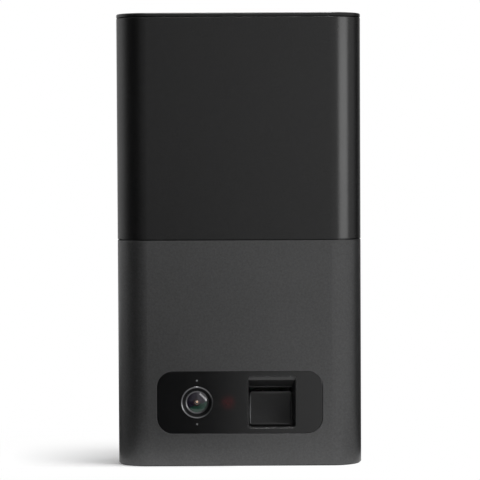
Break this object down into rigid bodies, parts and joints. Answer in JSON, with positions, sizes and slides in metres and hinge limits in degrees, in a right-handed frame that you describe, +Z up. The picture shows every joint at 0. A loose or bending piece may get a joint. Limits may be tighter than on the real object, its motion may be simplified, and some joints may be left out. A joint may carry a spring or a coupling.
{
  "type": "treat tossing pet camera",
  "caption": "Tall rounded tower with a treat hopper on top, a camera and a flap-closed treat port low on the front, and a vane feeder and kicker inside.",
  "frame": {"origin": "centre of the footprint, on the surface the camera stands on", "axes": "+Z up, -Y out of the front with the camera and treat port, +X to the right seen from the front"},
  "size_m": [0.145, 0.074, 0.268],
  "materials": {
    "anodised_shell": "bead-blasted, dark anodised",
    "hopper_black": "satin moulded black",
    "window_black": "polished black",
    "frame_black": "fine textured black",
    "flap_black": "satin black",
    "panel_black": "fine textured black",
    "foot_rubber": "matte black",
    "silicone": "soft grey",
    "ring_metal": "turned, satin",
    "lens_glass": "coated",
    "barrel_black": "ribbed matte black",
    "emitter_lens": "clear dark red",
    "board_green": "solder mask",
    "component_black": "moulded",
    "ribbon_white": "flat cable",
    "acetal_white": "moulded acetal",
    "housing_grey": "moulded",
    "funnel_grey": "food-safe moulded",
    "steel": "ground",
    "spring_steel": "drawn wire",
    "motor_can": "zinc plated",
    "brass": "turned",
    "speaker_black": "paper cone and steel basket",
    "screw_black": "black zinc"
  },
  "bodies": {
    "housing": {"foot_pad": "foot_rubber", "base_plate": "panel_black", "base_screws": "screw_black", "body_shell": "anodised_shell", "front_window": "window_black", "front_chassis": "housing_grey", "lens_bezel": "ring_metal", "lens_ring": "ring_metal", "lens_glass": "lens_glass", "lens_barrel": "barrel_black", "camera_holder": "barrel_black", "camera_board": "board_green", "camera_ribbon": "ribbon_white", "ir_emitter": "emitter_lens", "microphones": "foot_rubber", "port_frame": "frame_black", "flap_pin": "steel", "flap_spring": "spring_steel", "launch_chamber": "housing_grey", "feeder_housing": "housing_grey", "side_cover": "housing_grey", "shaft_bushes": "brass", "mechanism_screws": "steel", "motor_plate": "steel", "feeder_motor": "motor_can", "kicker_motor": "motor_can", "position_sensor": "component_black", "kicker_rest_pad": "foot_rubber", "rear_panel": "panel_black", "rear_panel_screws": "screw_black", "mount_inserts": "brass", "power_inlet": "component_black", "main_board": "board_green", "board_components": "component_black", "board_screws": "steel", "speaker": "speaker_black", "speaker_gasket": "foot_rubber", "top_deck": "housing_grey", "throat_seal": "silicone"},
    "hopper": {"hopper_shell": "hopper_black", "hopper_funnel": "funnel_grey", "latch_cover": "funnel_grey", "latch_springs": "spring_steel"},
    "lid": {"lid": "hopper_black", "lid_liner": "funnel_grey", "lid_seal": "silicone"},
    "lid_button": {"lid_button": "hopper_black"},
    "guard_flap": {"guard_flap": "flap_black"},
    "feeder_rotor": {"feeder_rotor": "acetal_white", "feeder_vanes": "silicone", "feeder_shaft": "steel", "feeder_gear": "acetal_white"},
    "feeder_pinion": {"feeder_pinion": "brass"},
    "kicker": {"kicker_paddle": "acetal_white", "kicker_shaft": "steel", "kicker_sector": "acetal_white", "kicker_spring": "spring_steel"},
    "kicker_pinion": {"kicker_pinion": "brass"},
    "reset_button": {"reset_button": "frame_black"}
  },
  "joints": [
    {"name": "hopper_lift", "type": "slide", "parent": "housing", "child": "hopper", "axis": [0, 0, 1], "range_m": [0, 0.06]},
    {"name": "lid_lift", "type": "slide", "parent": "hopper", "child": "lid", "axis": [0, 0, 1], "range_m": [0, 0.03]},
    {"name": "lid_release", "type": "slide", "parent": "hopper", "child": "lid_button", "axis": [0, -1, 0], "range_m": [0, 0.0025], "stiffness_N_per_m": 400, "springref_m": -0.002, "deforming": ["latch_springs"]},
    {"name": "flap_swing", "type": "hinge", "parent": "housing", "child": "guard_flap", "pos_m": [0.0183, -0.0281, 0.04245], "axis": [-1, 0, 0], "range_deg": [0, 75], "stiffness_Nm_per_rad": 0.0004, "springref_deg": -28.65},
    {"name": "feeder_turn", "type": "hinge", "parent": "housing", "child": "feeder_rotor", "pos_m": [0.0183, 0, 0.096], "axis": [1, 0, 0], "continuous": true},
    {"name": "feeder_pinion_turn", "type": "hinge", "parent": "housing", "child": "feeder_pinion", "pos_m": [-0.0017, -0.0208, 0.096], "axis": [1, 0, 0], "continuous": true},
    {"name": "kicker_swing", "type": "hinge", "parent": "housing", "child": "kicker", "pos_m": [0.0183, 0.014, 0.06], "axis": [-1, 0, 0], "range_deg": [0, 35]},
    {"name": "kicker_pinion_turn", "type": "hinge", "parent": "housing", "child": "kicker_pinion", "pos_m": [-0.0017, -0.0028, 0.06], "axis": [1, 0, 0], "range_deg": [0, 100]},
    {"name": "reset_press", "type": "slide", "parent": "housing", "child": "reset_button", "axis": [0, -1, 0], "range_m": [0, 0.0006], "stiffness_N_per_m": 1500, "springref_m": -0.0003}
  ],
  "couplings": [
    {"joint": "feeder_pinion_turn", "follows": "feeder_turn", "ratio": -3.3333},
    {"joint": "kicker_pinion_turn", "follows": "kicker_swing", "ratio": 2.5}
  ]
}
